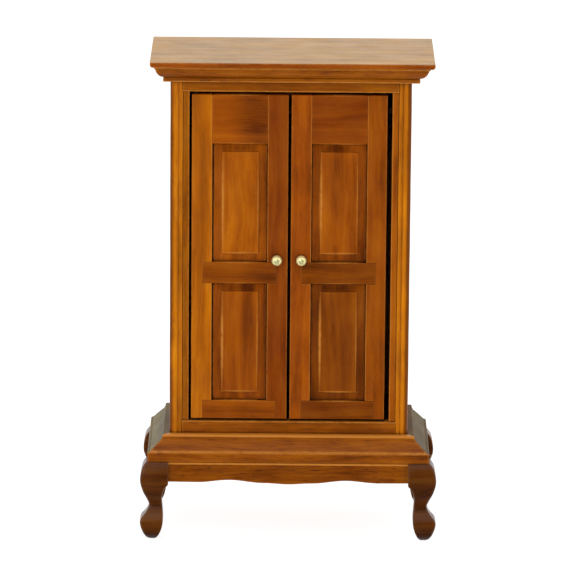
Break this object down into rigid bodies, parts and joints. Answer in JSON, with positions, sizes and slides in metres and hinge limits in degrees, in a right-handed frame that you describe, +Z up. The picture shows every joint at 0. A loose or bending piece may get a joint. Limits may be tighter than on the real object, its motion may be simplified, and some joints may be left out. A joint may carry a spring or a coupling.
{
  "type": "miniature wardrobe",
  "caption": "Dolls house wardrobe with raised-panel double doors, a coved cornice, a moulded base, cabriole legs and brass knobs; the doors open on pivot pins.",
  "frame": {"origin": "on the floor, in the middle of the footprint of the legs", "axes": "+Z up, +X to the viewer's right when facing the doors, -Y the way the doors face"},
  "size_m": [0.1082, 0.0562, 0.177],
  "materials": {
    "case_wood": "semi-gloss lacquer over a warm walnut stain, long straight grain",
    "door_wood": "semi-gloss lacquer over an orange-brown walnut stain, darker in the corners of the panels",
    "leg_wood": "satin lacquer over a dark brown stain",
    "inside_wood": "thin stain with no gloss",
    "brass": "polished"
  },
  "bodies": {
    "carcass": {"top_board": "case_wood", "cornice_front": "case_wood", "cornice_left": "case_wood", "cornice_right": "case_wood", "base_moulding_front": "case_wood", "base_moulding_left": "case_wood", "base_moulding_right": "case_wood", "left_front_post": "case_wood", "right_front_post": "case_wood", "left_jamb_strip": "case_wood", "right_jamb_strip": "case_wood", "top_rail": "case_wood", "bottom_rail": "case_wood", "left_side_panel": "case_wood", "right_side_panel": "case_wood", "back_panel": "inside_wood", "case_floor": "inside_wood", "base_board": "case_wood", "door_stop": "inside_wood", "hat_shelf": "inside_wood", "shelf_cleat_left": "inside_wood", "shelf_cleat_right": "inside_wood", "hanging_rail": "inside_wood", "rail_socket_left": "inside_wood", "rail_socket_right": "inside_wood", "leg_front_left": "leg_wood", "leg_front_right": "leg_wood", "leg_back_left": "leg_wood", "leg_back_right": "leg_wood", "front_apron": "case_wood", "left_apron": "case_wood", "right_apron": "case_wood", "back_apron": "case_wood", "left_lower_hinge_pin": "brass", "left_upper_hinge_pin": "brass", "right_lower_hinge_pin": "brass", "right_upper_hinge_pin": "brass"},
    "left_door": {"left_hinge_stile": "door_wood", "left_meeting_stile": "door_wood", "left_door_top_rail": "door_wood", "left_door_lock_rail": "door_wood", "left_door_bottom_rail": "door_wood", "left_upper_panel": "door_wood", "left_lower_panel": "door_wood", "left_knob": "brass"},
    "right_door": {"right_hinge_stile": "door_wood", "right_meeting_stile": "door_wood", "right_door_top_rail": "door_wood", "right_door_lock_rail": "door_wood", "right_door_bottom_rail": "door_wood", "right_upper_panel": "door_wood", "right_lower_panel": "door_wood", "right_knob": "brass"}
  },
  "joints": [
    {"name": "left_door_hinge", "type": "hinge", "parent": "carcass", "child": "left_door", "pos_m": [-0.0342, -0.01525, 0.1036], "axis": [0, 0, -1], "range_deg": [0, 110]},
    {"name": "right_door_hinge", "type": "hinge", "parent": "carcass", "child": "right_door", "pos_m": [0.0336, -0.01525, 0.1036], "axis": [0, 0, 1], "range_deg": [0, 110]}
  ]
}
